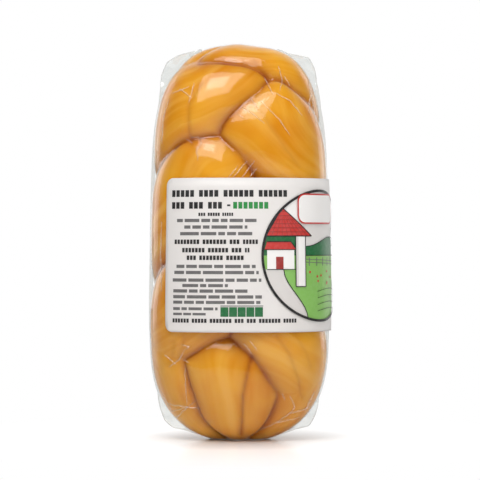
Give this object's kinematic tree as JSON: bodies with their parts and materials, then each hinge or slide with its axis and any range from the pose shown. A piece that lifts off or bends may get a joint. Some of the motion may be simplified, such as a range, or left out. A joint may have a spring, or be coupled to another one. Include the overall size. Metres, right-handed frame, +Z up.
{
  "type": "vacuum-packed braided provolone cheese",
  "caption": "Braided smoked provolone loaf shrink-packed in clear film, standing on end, with a paper label wrapped round its middle.",
  "frame": {"origin": "middle of the small flat foot that the loaf stands on", "axes": "+Z up along the loaf, -Y towards the front where the label's text block is, +X to the front's right"},
  "size_m": [0.0737, 0.0613, 0.16],
  "materials": {
    "film_pack": "golden smoked cheese seen through tight glossy clear film",
    "label_paper": "off-white coated paper label"
  },
  "bodies": {
    "root": {"sealed_pack": "film_pack", "label": "label_paper"}
  },
  "joints": []
}
